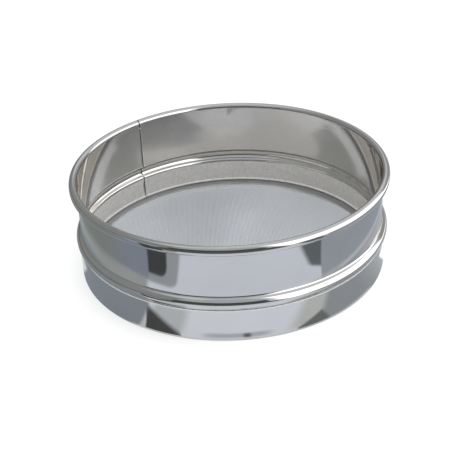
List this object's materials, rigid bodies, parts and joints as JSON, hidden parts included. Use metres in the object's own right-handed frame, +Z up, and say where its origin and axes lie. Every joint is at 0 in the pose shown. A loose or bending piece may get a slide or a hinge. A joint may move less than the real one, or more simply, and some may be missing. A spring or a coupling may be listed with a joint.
{
  "type": "drum sieve",
  "caption": "Round drum sieve of polished sheet steel with a curled rim, a beaded wall and a fine woven mesh held by a clamping hoop.",
  "frame": {"origin": "centre of the plane that the sieve stands on, under the middle of the drum", "axes": "+Z up along the drum's axis; the lap seam stands at 128.4 degrees from +X towards +Y, which is at the back and to the left when seen from -Y"},
  "size_m": [0.21, 0.21, 0.0678],
  "materials": {
    "polished_wall": "mirror-polished stainless sheet",
    "plain_wire": "drawn wire, hidden in the curl",
    "polished_hoop": "mirror-polished stainless sheet",
    "plain_ring": "cold-rolled stainless strip",
    "mesh_wire": "bright woven stainless wire"
  },
  "bodies": {
    "root": {"drum_wall": "polished_wall", "rim_wire": "plain_wire", "clamping_hoop": "polished_hoop", "mesh_support_ring": "plain_ring", "woven_mesh": "mesh_wire"}
  },
  "joints": []
}
